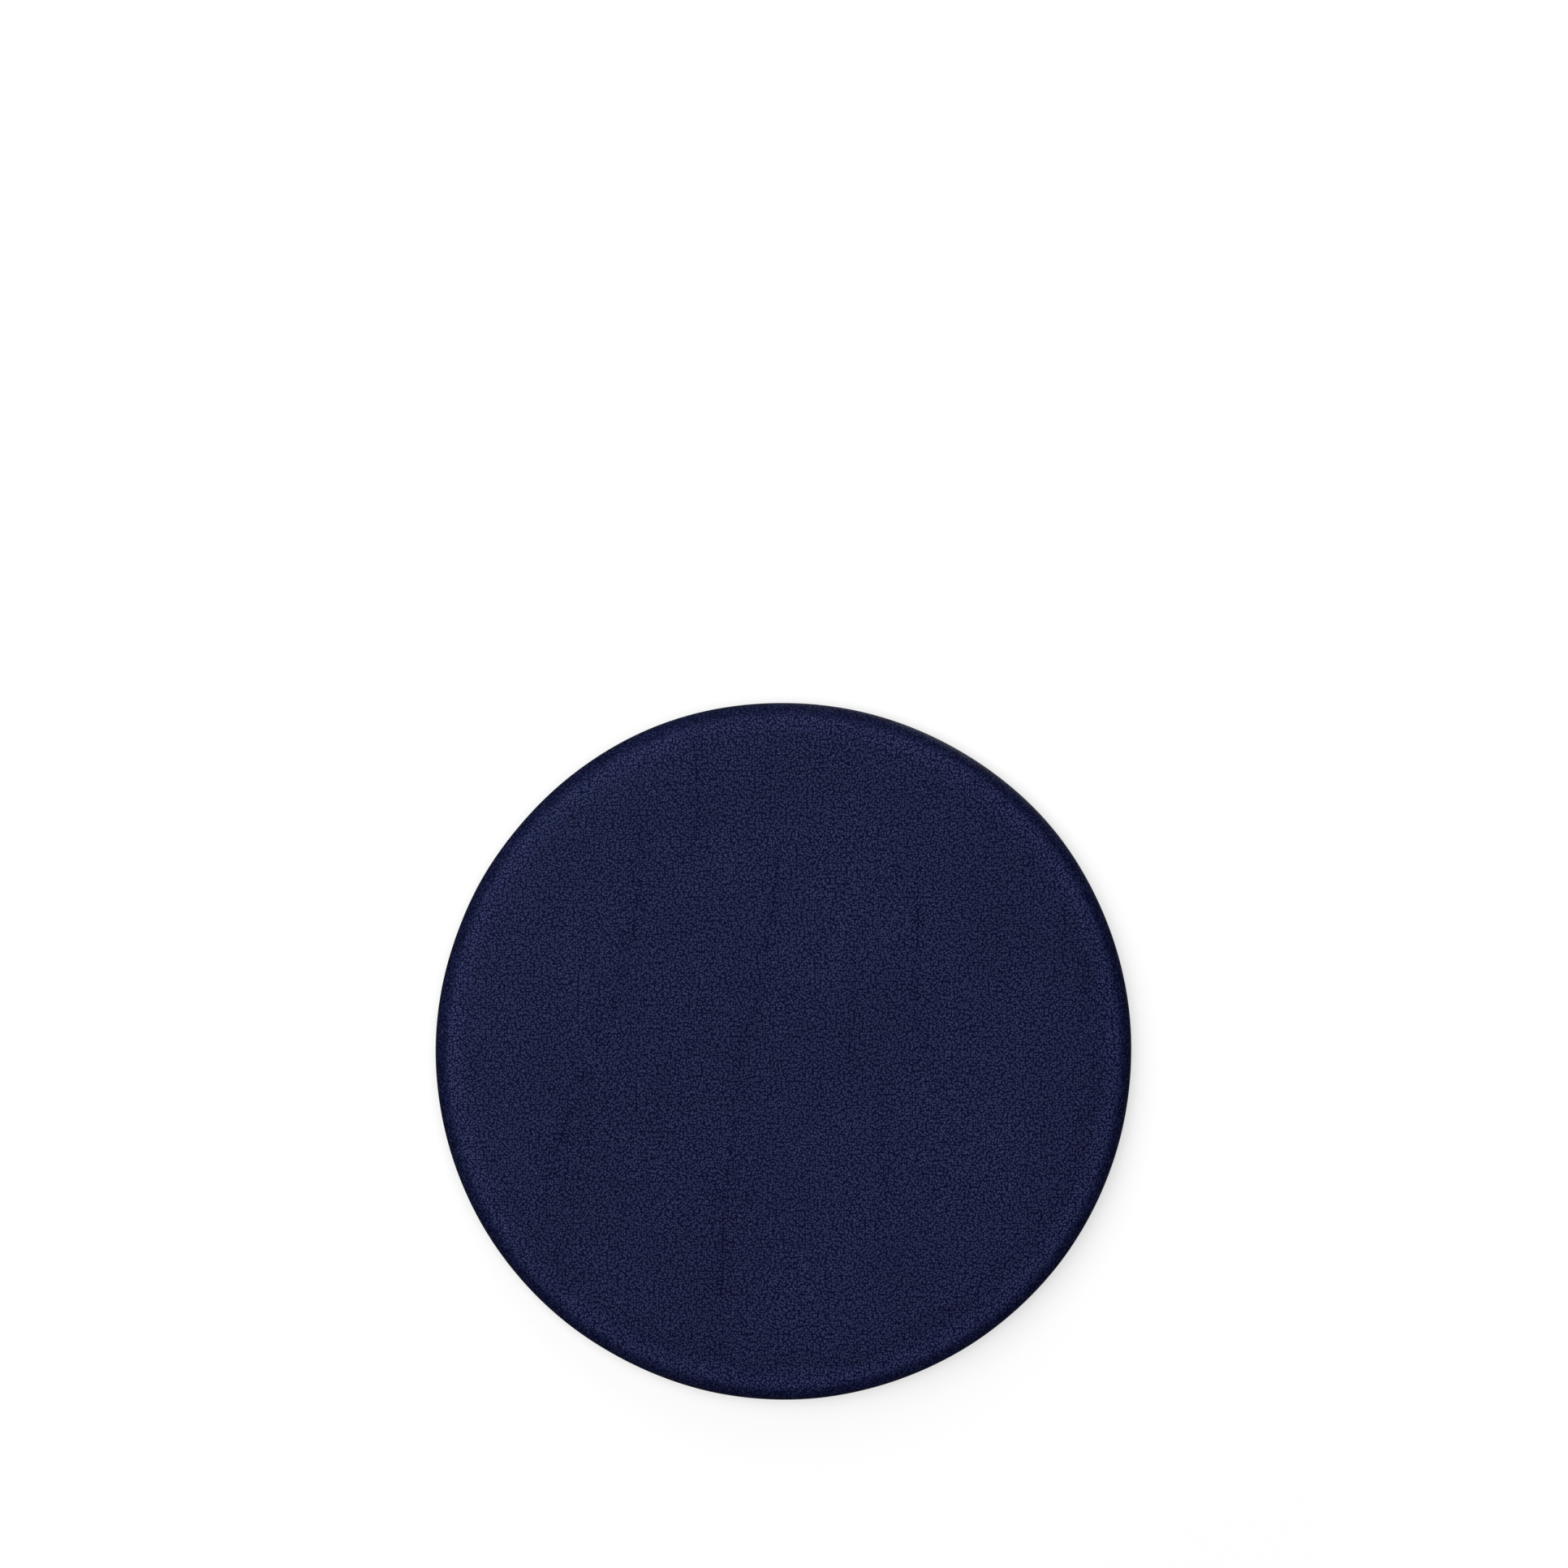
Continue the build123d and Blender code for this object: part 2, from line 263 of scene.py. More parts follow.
def leather():
    """Navy full-grain leather: pebbles about 1.3 mm apart in a net of creases, its colour with painted shade
    and painted highlight.
    """
    paint = Paint("navy_leather")
    loose = paint.warp(110, 1.2 * MM)
    place = paint.warp(1300, 0.30 * MM, loose)
    radius = paint.radius()
    rim = paint.step(radius, PAD_RADIUS - 8.0 * MM, PAD_RADIUS - 3.5 * MM)  # where the leather is stretched smoother, and where its colour gets painted shade
    painted_highlight_ring = paint.step(radius, PAD_RADIUS - 18 * MM, PAD_RADIUS - 10 * MM)  # where the colour gets a painted highlight, in a ring inside the edge
    # Distance to a pebble's middle: seen from above on the seat, in space round the edge
    seat = paint.step(paint.cells(760, place, 0.85, "2D"), 0.13, 0.56, 1.0, 0.0)
    side = paint.step(paint.cells(900, place, 0.85), 0.22, 0.55, 1.0, 0.0)
    pebble = paint.line(rim, paint.minus(side, seat), seat)
    fine = paint.step(paint.grain(2800, 1.0), 0.36, 0.64)
    height = paint.line(pebble, 0.55, paint.line(fine, 0.55, -0.08))
    height = paint.line(crease_marks(paint, place), -0.26, height)
    relief = paint.times(height, paint.line(rim, -0.5, 1.0))
    # Colour: painted shade in the creases, painted highlight on the pebble tops, with cloudy dye
    crease_shade_colour = paint.mix(paint.step(height, 0.10, 0.60), (0.0000, 0.0002, 0.0085), (0.0066, 0.0092, 0.0360))
    colour = paint.mix(paint.step(height, 0.40, 0.95), crease_shade_colour, (0.0300, 0.0365, 0.0850))
    dye_and_highlight = paint.line(paint.grain(14, 3.0, 0.6), 0.40, 0.80)
    dye_and_highlight = paint.times(dye_and_highlight, paint.line(paint.grain(130, 1.0), 0.16, 0.92))
    # painted highlight: the colour is lifted in a ring just inside the edge
    dye_and_highlight = paint.times(dye_and_highlight, paint.line(painted_highlight_ring, 0.28, 0.98))
    # painted shade: the colour is darkened round the edge, where it turns down
    rim_shade_colour = paint.stretch(colour, (0.56, 0.60, 0.72))
    colour = paint.tint(paint.mix(rim, colour, rim_shade_colour), dye_and_highlight)
    rough = paint.step(height, 0.0, 0.9, 0.62, 0.46)
    blue = (0.50, 0.58, 1.0)
    paint.finish(colour, rough, relief, 0.16 * MM, 1.0, Specular_IOR_Level=0.10, Specular_Tint=blue)


def weave(name, dark, light, pitch, twill=True, relief=0.12 * MM, roughness=0.85):
    """Woven cloth: warp and weft threads that cross, with uneven yarn and lint."""
    paint = Paint(name)
    place = paint.warp(60, 0.25 * MM)
    x, y, _ = paint.split(place)
    turn = 2 * pi / pitch
    warp, weft = (paint.maths("SINE", paint.times(v, turn)) for v in (x, y))
    over = paint.times(warp, weft)
    if twill:
        over = paint.maths("SINE", paint.times(paint.plus(x, y), turn / 2))
    share = paint.step(over, -0.35, 0.35)
    up = paint.times(share, paint.maths("ABSOLUTE", warp))
    across = paint.times(paint.minus(1, share), paint.maths("ABSOLUTE", weft))
    height = paint.plus(up, across)
    yarn = paint.grain(1, 2.0, place=paint.stretch(place, (420, 2600, 900)))
    fuzz = paint.grain(3200, 3.0)
    level = paint.line(height, 0.7, paint.times(yarn, 0.4))
    colour = paint.mix(paint.step(level, 0.1, 1.0), dark, light)
    colour = paint.tint(colour, paint.line(paint.grain(30, 3.0), 0.4, 0.8))
    height = paint.line(fuzz, 0.35, height)
    paint.finish(colour, roughness, height, relief, 0.8, Sheen_Weight=0.15, Sheen_Roughness=0.5)


def thread(name, dark, light):
    """Bonded sewing thread: fine fibres along a slight twist."""
    paint = Paint(name)
    fibres = paint.grain(5200, 2.0)
    colour = paint.mix(paint.step(fibres, 0.3, 0.7), dark, light)
    colour = paint.tint(colour, paint.line(paint.grain(180), 0.4, 0.8))
    rough = paint.step(fibres, 0.3, 0.7, 0.65, 0.45)
    paint.finish(colour, rough, fibres, 0.05 * MM, 0.6, Sheen_Weight=0.1)


def rubber():
    """Matt rubber dots with a faint bloom."""
    paint = Paint("grip_rubber")
    bloom = paint.grain(90, 4.0, 0.6)
    pits = paint.grain(3500, 2.0)
    colour = paint.mix(paint.step(bloom, 0.35, 0.75), (0.010, 0.010, 0.012), (0.028, 0.028, 0.031))
    paint.finish(colour, paint.step(bloom, 0.3, 0.8, 0.48, 0.70), pits, 0.03 * MM, 0.5)


def nylon():
    """The zip's filament: smooth dyed nylon with faint drawing marks."""
    paint = Paint("zip_nylon")
    marks = paint.grain(1, 2.0, place=paint.stretch(paint.where, (900, 5000, 5000)))
    colour = paint.mix(paint.step(marks, 0.3, 0.7), (0.013, 0.017, 0.040), (0.026, 0.032, 0.066))
    paint.finish(colour, paint.step(marks, 0.2, 0.8, 0.26, 0.42), marks, 0.02 * MM, 0.4)


def zip_metal():
    """Nickel-plated die-cast zinc, a little tumbled and rubbed."""
    paint = Paint("zip_metal")
    wear = paint.grain(700, 4.0, 0.65)
    cast = paint.grain(2600, 2.0)
    brushed = paint.grain(1, 2.0, place=paint.stretch(paint.where, (500, 9000, 9000)))
    colour = paint.mix(paint.step(wear, 0.35, 0.70), (0.48, 0.47, 0.46), (0.66, 0.65, 0.63))
    rough = paint.line(brushed, 0.10, paint.step(wear, 0.3, 0.7, 0.38, 0.22))
    height = paint.line(cast, 0.6, paint.times(brushed, 0.4))
    paint.finish(colour, rough, height, 0.03 * MM, 0.35, Metallic=1.0)


def fleece(name, dark, light, scale):
    """Unwoven fibres pressed into a sheet, or loose as wadding."""
    paint = Paint(name)
    place = paint.warp(scale, 0.8 / scale)
    fibres = paint.grain(scale * 6, 4.0, 0.7, place)
    bonds = paint.cells(scale * 2.2, place)
    height = paint.line(bonds, 0.6, fibres)
    colour = paint.mix(paint.step(height, 0.4, 1.0), dark, light)
    paint.finish(colour, 0.92, height, 0.15 * MM, 0.7, Sheen_Weight=0.2)


def open_foam():
    """Cut polyurethane foam with open cells."""
    paint = Paint("foam")
    cells = paint.cells(900)
    colour = paint.mix(paint.step(cells, 0.1, 0.7), (0.52, 0.44, 0.26), (0.86, 0.80, 0.60))
    paint.finish(colour, 0.95, cells, 0.4 * MM, 0.8)


leather()
weave("base_fabric", (0.006, 0.007, 0.011), (0.030, 0.033, 0.044), 0.9 * MM)
weave("zip_tape", (0.007, 0.009, 0.020), (0.030, 0.036, 0.066), 0.55 * MM, False, 0.07 * MM)
weave("label_fabric", (0.60, 0.59, 0.55), (0.86, 0.85, 0.81), 0.32 * MM, True, 0.04 * MM, 0.55)
thread("navy_thread", (0.010, 0.013, 0.036), (0.040, 0.048, 0.100))
thread("label_thread", (0.45, 0.44, 0.41), (0.80, 0.79, 0.76))
rubber()
fleece("casing_fabric", (0.62, 0.62, 0.60), (0.86, 0.86, 0.84), 500)
fleece("wadding", (0.74, 0.74, 0.72), (0.92, 0.92, 0.90), 180)
open_foam()
nylon()
zip_metal()

# Mesh helpers ----------

PATCH_CELLS = 48  # along each side of the grid that makes a form's middle
PATCH_RADIUS = 88 * MM


def new_mesh(name, points, faces, slot):
    mesh = bpy.data.meshes.new(name)
    mesh.from_pydata([tuple(p) for p in points], [], faces)
    mesh.materials.append(MATERIALS[slot])
    return mesh


def add_object(name, data):
    thing = bpy.data.objects.new(name, data)
    bpy.context.scene.collection.objects.link(thing)
    return thing


def enclosed_volume(mesh):
    """A closed mesh's volume, negative if its faces look inwards."""
    mesh.calc_loop_triangles()
    points = np.array([v.co for v in mesh.vertices], float)
    corners = points[[t.vertices[:] for t in mesh.loop_triangles]]
    return np.linalg.det(corners).sum() / 6


def add_piece(name, points, faces, slot, *replaced):
    """A finished piece of the pad: its mesh, its material and the CAD nodes that it stands for."""
    mesh = new_mesh(name, points, faces, slot)
    mesh.validate()
    if enclosed_volume(mesh) < 0:
        mesh.flip_normals()
    mesh.shade_smooth()
    piece = add_object(name, mesh)
    if replaced:
        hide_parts(*replaced)
    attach(piece, "pad")
    return piece


def thicken(piece, thickness):
    """Gives a surface a thickness on its inner side."""
    shell = piece.modifiers.new("thickness", "SOLIDIFY")
    shell.thickness = thickness
    shell.offset = -1


def soften_edges(piece, width, angle=50):
    """Rounds a piece's sharp edges."""
    bevel = piece.modifiers.new("edges", "BEVEL")
    bevel.width = width
    bevel.segments = 2
    bevel.limit_method = "ANGLE"
    bevel.angle_limit = radians(angle)


def apply_modifiers(piece):
    """Turns what the modifiers make into the piece's own mesh."""
    bpy.context.view_layer.update()
    graph = bpy.context.evaluated_depsgraph_get()
    made = bpy.data.meshes.new_from_object(piece.evaluated_get(graph), depsgraph=graph)
    piece.modifiers.clear()
    old = piece.data
    piece.data = made
    bpy.data.meshes.remove(old)
    made.name = piece.name


def mesh_points(piece):
    return np.array([v.co for v in piece.data.vertices], float)


def join_parts(parts):
    """Several (points, faces) as one."""
    points, faces = [], []
    for some_points, some_faces in parts:
        start = len(points)
        points.extend(some_points)
        faces.extend(tuple(i + start for i in face) for face in some_faces)
    return points, faces


def tube_faces(rings, around):
    """Faces of a tube of rings of points, each with around points, closed at both ends."""
    faces = []
    for k in range(rings - 1):
        for i in range(around):
            j = (i + 1) % around
            a, b = k * around, (k + 1) * around
            faces.append((a + i, b + i, b + j, a + j))
    faces.append(tuple(range(around)))
    faces.append(tuple(reversed(range((rings - 1) * around, rings * around))))
    return faces


def round_patch():
    """A grid of quads pressed into a disc, with no pinched middle. Returns points, faces and the
    indices round its edge, anticlockwise from 45 degrees below +X."""
    row = PATCH_CELLS + 1
    sides = [2 * i / PATCH_CELLS - 1 for i in range(row)]
    points = []
    for v in sides:
        for u in sides:
            x = u * (0.5 * sqrt(1 - v * v / 2) + 0.42)
            y = v * (0.5 * sqrt(1 - u * u / 2) + 0.42)
            points.append((PATCH_RADIUS * x, PATCH_RADIUS * y))
    starts = [j * row + i for j in range(PATCH_CELLS) for i in range(PATCH_CELLS)]
    faces = [(a, a + 1, a + 1 + row, a + row) for a in starts]
    last = PATCH_CELLS * row
    right = list(range(PATCH_CELLS, last, row))
    top = list(range(last + PATCH_CELLS, last, -1))
    left = list(range(last, 0, -row))
    return points, faces, right + top + left + list(range(PATCH_CELLS))


def fill_outline(outline, spacing, lines=()):
    """Fills an outline of (x, y) points with triangles, over the points of lines inside it and a
    grid between. Returns the points, outline first, and the triangles."""
    fixed = list(outline) + [p for line in lines for p in line]
    edges = [(i, (i + 1) % len(outline)) for i in range(len(outline))]
    start = len(outline)
    for line in lines:
        edges += [(start + i, start + i + 1) for i in range(len(line) - 1)]
        start += len(line)
    near = np.array(fixed)
    low, high = near.min(0), near.max(0)
    grid = []
    row_height = spacing * sqrt(3) / 2
    for j in range(int((high[1] - low[1]) / row_height) + 1):
        for i in range(int((high[0] - low[0]) / spacing) + 1):
            p = (low[0] + (i + 0.5 * (j % 2)) * spacing, low[1] + (j + 0.5) * row_height)
            if np.hypot(*(near - p).T).min() > 0.55 * spacing:
                grid.append(p)
    points = [Vector(p) for p in fixed + grid]
    made = delaunay_2d_cdt(points, edges, [list(range(len(outline)))], 1, 1e-7)
    return [tuple(p) for p in made[0]], [tuple(f) for f in made[2]]


def disc_form(patch_height, rings):
    """A disc-shaped form, open below: a round patch, then (radius, height) rings out and round the
    edge. patch_height(radius) is the patch's level. Returns points, faces and the last ring."""
    flat, faces, edge = round_patch()
    points = [(x, y, patch_height(hypot(x, y))) for x, y in flat]
    count = len(edge)
    inner = [flat[i] for i in edge]
    blend_to = next(i for i, ring in enumerate(rings) if ring[0] > 0.84 * PAD_RADIUS)
    far = rings[blend_to][0]
    last = edge
    for k, (radius, height) in enumerate(rings):
        share = min(1.0, (k + 1) / (blend_to + 1))
        this = []
        for i in range(count):
            angle = (i / count) * 2 * pi - pi / 4
            x, y = polar(radius, angle)
            if share < 1:
                x = inner[i][0] + (far * cos(angle) - inner[i][0]) * share
                y = inner[i][1] + (far * sin(angle) - inner[i][1]) * share
                height = patch_height(hypot(x, y))
            this.append(len(points))
            points.append((x, y, height))
        for i in range(count):
            j = (i + 1) % count
            faces.append((last[i], this[i], this[j], last[j]))
        last = this
    return points, faces, last


def close_below(points, faces, ring, height, lines=()):
    """Adds a form's underside inside its last ring, at the level height(x, y)."""
    outline = [points[i][:2] for i in ring]
    filled, triangles = fill_outline(outline, 5 * MM, lines)
    index = list(ring) + [len(points) + i for i in range(len(filled) - len(ring))]
    points.extend((x, y, height(x, y)) for x, y in filled[len(ring):])
    faces.extend(tuple(index[i] for i in reversed(f)) for f in triangles)
    return points, faces


def capsule(length, width, height):
    """One stitch lying along X on z = 0: its ends dip, and its two plies twist."""
    around, along, twist = 10, 9, 5.0
    points = []
    for k in range(along):
        t = 2 * k / (along - 1) - 1
        girth = sqrt(max(0.0, 1 - abs(t) ** 3.2)) * 0.96 + 0.04
        rise = height * (0.45 - 0.75 * t * t)
        for i in range(around):
            angle = 2 * pi * i / around
            ply = 1 + 0.10 * cos(2 * angle - twist * t)
            y = 0.5 * width * girth * ply * cos(angle)
            z = rise + 0.5 * height * girth * ply * sin(angle)
            points.append((0.5 * length * t, y, z))
    return points, tube_faces(along, around)


def stitches(name, node, places, slot="navy_thread", length=3.9 * MM, width=0.85 * MM, height=0.42 * MM):
    """A row of stitches, turned upside down: places holds (x, y, angle)."""
    parts = []
    form, faces = capsule(length, width, height)
    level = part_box(node)[1].z
    for x, y, angle in places:
        turn = angle + 0.03 * unevenness(x, y, 90, 3)
        c, s = cos(turn), sin(turn)
        points = [(x + c * u - s * v, y + s * u + c * v, level - w) for u, v, w in form]
        parts.append((points, faces))
    add_piece(name, *join_parts(parts), slot, node)


# Leather cover ----------

RIM_RADIUS = 10.4 * MM  # the rounded upper edge, seen in section
TOE_RADIUS = 6.0 * MM
RIM_START = radians(10)  # how far the seat tilts where the rounded edge begins
SHOULDER = 148 * MM  # inside this the seat is almost level
# Where the outline stands out or in: direction in degrees from +X, mm, and width in degrees
HAND_CUT = (
    (110, 0.50, 13), (40, 0.58, 12), (270, 0.30, 16), (160, -0.42, 10),
    (140, -0.42, 10), (350, -0.26, 16), (240, -0.22, 12),
)
HEM_RADIUS = 160.2 * MM  # just outside the hem's inner edge
MOST_SWELL = 0.9 * MM
SEAT_FALL = 0.4 * MM  # from the middle to the shoulder

rim_centre = (PAD_RADIUS - RIM_RADIUS, 9.4 * MM)
rim_edge = [c + RIM_RADIUS * part for c, part in zip(rim_centre, (sin(RIM_START), cos(RIM_START)))]


def seat_height(radius):
    """Height of the seat inside the rounded edge: level, then tilting down to the edge's tilt."""
    if radius <= SHOULDER:
        return CROWN - SEAT_FALL * (radius / SHOULDER) ** 2
    drop = CROWN - SEAT_FALL - rim_edge[1]
    reach = rim_edge[0] - SHOULDER
    t = (radius - SHOULDER) / reach
    slope_in = 2 * SEAT_FALL / SHOULDER * reach / drop
    return CROWN - SEAT_FALL - drop * (slope_in * t + (1 - slope_in) * t * t)


def seat_rings(inset=0.0):
    """(radius, height) from the seat's patch out and round the rounded edge, on a surface that
    lies inset inside the cover's outside."""
    seat = (*range(96, 149, 4), 151, 154, 157, 160, 162.5, 164.5)
    rings = [(r * MM, seat_height(r * MM) - inset) for r in seat]
    for turn in (10, *range(18, 91, 9)):
        a = radians(turn)
        r = RIM_RADIUS - inset
        rings.append((rim_centre[0] + r * sin(a), rim_centre[1] + r * cos(a)))
    return rings


def toe_rings(inset=0.0):
    """The rings on down round the lower edge and in over the hem."""
    rings = []
    for turn in range(0, 91, 18):
        a = radians(turn)
        r = TOE_RADIUS - inset
        rings.append((PAD_RADIUS - TOE_RADIUS + r * cos(a), HEM_LEVEL + TOE_RADIUS - r * sin(a)))
    return rings + [(r * MM, HEM_LEVEL + inset) for r in (167, 165, 163, 161.5, 160)]


def outline_offset(angle):
    """How far the hand-cut outline stands out at an angle, in metres."""
    out = 0.0
    for direction, amount, width in HAND_CUT:
        away = (degrees(angle) - direction + 180) % 360 - 180
        out += amount * MM * exp(-((away / width) ** 2))
    return out


def swell(piece):
    """Blows the closed cover up a little as cloth, held under the rim. Returns how far each point
    moved."""
    start = mesh_points(piece)
    held = piece.vertex_groups.new(name="held")
    held.add([i for i, p in enumerate(start) if p[2] < HEM_LEVEL + 0.2 * MM], 1.0, "REPLACE")
    modifier = piece.modifiers.new("cloth", "CLOTH")
    modifier.collision_settings.use_collision = False
    cloth = modifier.settings
    cloth.quality = 6
    cloth.mass = 0.6
    cloth.tension_stiffness = 60
    cloth.compression_stiffness = 60
    cloth.shear_stiffness = 30
    cloth.bending_stiffness = 8
    cloth.use_pressure = True
    cloth.uniform_pressure_force = 4
    cloth.vertex_group_mass = "held"
    cloth.effector_weights.gravity = 0
    scene = bpy.context.scene
    for f in range(1, 21):
        scene.frame_set(f)
    graph = bpy.context.evaluated_depsgraph_get()
    moved = mesh_points(piece.evaluated_get(graph)) - start
    piece.modifiers.remove(modifier)
    scene.frame_set(1)
    size = np.linalg.norm(moved, axis=1, keepdims=True)
    return moved * np.minimum(1.0, MOST_SWELL / np.maximum(size, 1e-9))


def shape_by_hand(points):
    """Gives the points the hand-cut outline, soft hollows in the filling, and gathers under the
    rim. Returns the radius that each had before."""
    angle = np.arctan2(points[:, 1], points[:, 0])
    radius = np.hypot(points[:, 0], points[:, 1])
    offset = np.array([outline_offset(a) for a in angle])
    grow = 1 + smooth(radius, 0.120, 0.172) * offset / np.maximum(radius, 1e-6)
    points[:, :2] *= grow[:, None]
    for i, p in enumerate(points):
        if p[2] > 14 * MM:
            hollow = unevenness(p[0], p[1], 22, 1.7)
            ripple = unevenness(p[0], p[1], 70, 5.1)
            points[i, 2] += 0.22 * MM * hollow + 0.05 * MM * ripple
        elif p[2] < HEM_LEVEL + 5 * MM and radius[i] > 158 * MM:
            fold = sin(angle[i] * 64 + 2.4 * sin(angle[i] * 9))
            depth = 0.22 * MM * fold * smooth(HEM_LEVEL + 5 * MM - p[2], 0, 4 * MM)
            points[i, 2] += max(0.0, depth) if p[2] < HEM_LEVEL + 0.5 * MM else depth
    return radius


def open_underside(cover, points, radius):
    """Gives the cover these points, without the faces inside its hem."""
    keep = []
    for face in cover.data.polygons:
        corners = list(face.vertices)
        if not all(radius[v] < HEM_RADIUS and points[v][2] < HEM_LEVEL + 1 * MM for v in corners):
            keep.append(corners)
    used = sorted({v for face in keep for v in face})
    renumber = {v: i for i, v in enumerate(used)}
    faces = [[renumber[v] for v in face] for face in keep]
    cover.data = new_mesh(cover.name, points[used], faces, "navy_leather")


def leather_cover():
    """Leather drawn over the rim in one piece, its hem turned under."""
    form = disc_form(seat_height, seat_rings() + toe_rings())
    closed = close_below(*form, lambda x, y: HEM_LEVEL)
    cover = add_piece("seat_cover", *closed, "navy_leather", "top_cover")
    points = mesh_points(cover)
    moved = swell(cover)
    moved[:, 2] -= moved[:, 2].max() * 0.85
    outside = smooth(np.hypot(points[:, 0], points[:, 1]), 0.150, 0.174)
    moved *= (0.25 + 0.75 * (1 - outside))[:, None]
    moved[points[:, 2] < HEM_LEVEL + 2 * MM] = 0
    points += moved
    radius = shape_by_hand(points)
    open_underside(cover, points, radius)
    thicken(cover, 1.2 * MM)
    detail = cover.modifiers.new("detail", "SUBSURF")
    detail.levels = detail.render_levels = 1
    apply_modifiers(cover)
    cover.data.shade_smooth()


leather_cover()

# Flat pieces ----------


def plate(points, triangles, count, low, high):
    """A plate on filled points, the first count of them its outline, with faces at low(x, y) and
    high(x, y)."""
    n = len(points)
    solid = [(x, y, low(x, y)) for x, y in points] + [(x, y, high(x, y)) for x, y in points]
    faces = [tuple(reversed(f)) for f in triangles] + [tuple(i + n for i in f) for f in triangles]
    faces += [(i, (i + 1) % count, (i + 1) % count + n, i + n) for i in range(count)]
    return solid, faces


def slab(rows, across, place):
    """A closed strip over a grid of points: place(i, j) gives their (x, y, lower z, upper z)."""
    grid = [place(i, j) for i in range(rows) for j in range(across)]
    points = [p[:3] for p in grid] + [(*p[:2], p[3]) for p in grid]
    half = len(grid)
    faces = []
    for i in range(rows - 1):
        for j in range(across - 1):
            a = i * across + j
            quad = (a, a + across, a + across + 1, a + 1)
            faces += [quad, tuple(k + half for k in reversed(quad))]
    last = half - across
    rim = [*range(across), *range(2 * across - 1, half, across)]
    rim += [*range(half - 2, last - 1, -1), *range(last - across, 0, -across)]
    for a, b in zip(rim, rim[1:] + rim[:1]):
        faces.append((a, b, b + half, a + half))
    return points, faces


# Base panels and their rubber dots ----------

RING_STITCHES = round(2 * pi * STITCH_RING / STITCH_PITCH)
FINE_STEP = 1.25 * MM  # between a panel's points along its stitches and its window
GROOVE = 1.1 * MM  # half the width of the groove that a row of stitches pulls


def panel_outline(side):
    """A base panel's outline: its arc, the seam on the zip's line, and half of the window."""
    start = asin(ZIP_Y / PANEL_RADIUS)
    turn = pi - 2 * start if side > 0 else -(pi + 2 * start)
    steps = round(abs(turn) * PANEL_RADIUS / (1.3 * MM))
    outline = [polar(PANEL_RADIUS, start + turn * i / steps) for i in range(steps + 1)]
    seam_end = abs(outline[0][0])
    half = side * WINDOW_SIDE
    edge = ZIP_Y + half
    across = round(2 * WINDOW_END / FINE_STEP)
    beyond = [-seam_end + (seam_end - WINDOW_END) * i / 8 for i in range(1, 8)]
    outline += [(x, ZIP_Y) for x in beyond]
    outline += [(-WINDOW_END, ZIP_Y + half * i / 5) for i in range(5)]
    outline += [(-WINDOW_END + 2 * WINDOW_END * i / across, edge) for i in range(across)]
    outline += [(WINDOW_END, edge - half * i / 5) for i in range(5)]
    outline += [(WINDOW_END, ZIP_Y)] + [(-x, ZIP_Y) for x in reversed(beyond)]
    return outline if side > 0 else outline[::-1]


def panel_pull(x, y, side):
    """How far thread pulls a panel's face up: a groove along each row of stitches, deepest at the
    needle holes, and slack cloth that puckers beside it."""
    angle = atan2(y, x)
    radius = hypot(x, y)
    ring_phase = cos(angle * RING_STITCHES)
    off_ring = (radius - STITCH_RING) / GROOVE
    ring = (0.14 - 0.09 * ring_phase) * MM * exp(-off_ring * off_ring)
    inner_ring = 0.10 * MM * exp(-(((radius - STITCH_RING + 3.5 * MM) / (3 * MM)) ** 2))
    row = 0.0
    if abs(x) < WINDOW_END + 1 * MM:
        row_phase = cos(2 * pi * x / STITCH_PITCH)
        off_row = (abs(y - ZIP_Y) - TAPE_ROW) / GROOVE
        row = (0.14 + 0.09 * row_phase) * MM * exp(-off_row * off_row)
    slack = unevenness(x, y, 38, 2.0 + side)
    gathers = sin(angle * RING_STITCHES / 2.5 + 2 * slack)
    return ring + row - inner_ring * max(0.0, gathers) * 0.6 + 0.05 * MM * slack


def round_line(radius, side):
    """Points along a circle on one panel, ending just short of the seam."""
    tip = asin((ZIP_Y + side * 1.2 * MM) / radius)
    start, turn = (tip, pi - 2 * tip) if side > 0 else (-pi - tip, pi + 2 * tip)
    steps = round(turn * radius / FINE_STEP)
    return [polar(radius, start + turn * i / steps) for i in range(steps + 1)]


def base_weave(name, node, side):
    """A woven base panel, drawn in along its stitches."""
    outline = panel_outline(side)
    lines = [round_line(STITCH_RING + step * MM, side) for step in (-2.2, -1.1, 0.0, 1.1)]
    steps = round(2 * WINDOW_END / FINE_STEP)
    for step in (-1.1, 0.0, 1.1, 2.4):
        y = ZIP_Y + side * (TAPE_ROW + step * MM)
        lines.append([(WINDOW_END * (2 * i / steps - 1), y) for i in range(steps + 1)])
    points, triangles = fill_outline(outline, 4 * MM, lines)

    def low(x, y):
        return PANEL_BOTTOM + max(-0.1 * MM, panel_pull(x, y, side))

    form = plate(points, triangles, len(outline), low, lambda x, y: PANEL_TOP)
    piece = add_piece(name, *form, "base_fabric", node)
    soften_edges(piece, 0.25 * MM)
    apply_modifiers(piece)


base_weave("base_weave_front", "base_panel_front", -1)
base_weave("base_weave_rear", "base_panel_rear", 1)

DOT_PITCH = 8 * MM
DOT_RADIUS = 1.5 * MM
LABEL_MARGIN = 4 * MM  # free of dots round the label
# The dot's profile, as shares of its radius and of its height
DOT_PROFILE = ((1.09, 1.02), (1.0, 0.74), (0.95, 0.40), (0.82, 0.12), (0.58, 0.015), (0.28, 0.0))


def dot(x, y, size):
    """One dot, standing on the ground."""
    around = 14
    points = []
    for share, level in DOT_PROFILE:
        for i in range(around):
            dx, dy = polar(share * DOT_RADIUS * size, 2 * pi * i / around)
            points.append((x + dx, y + dy, level * DOT_HEIGHT))
    return points, tube_faces(len(DOT_PROFILE), around)


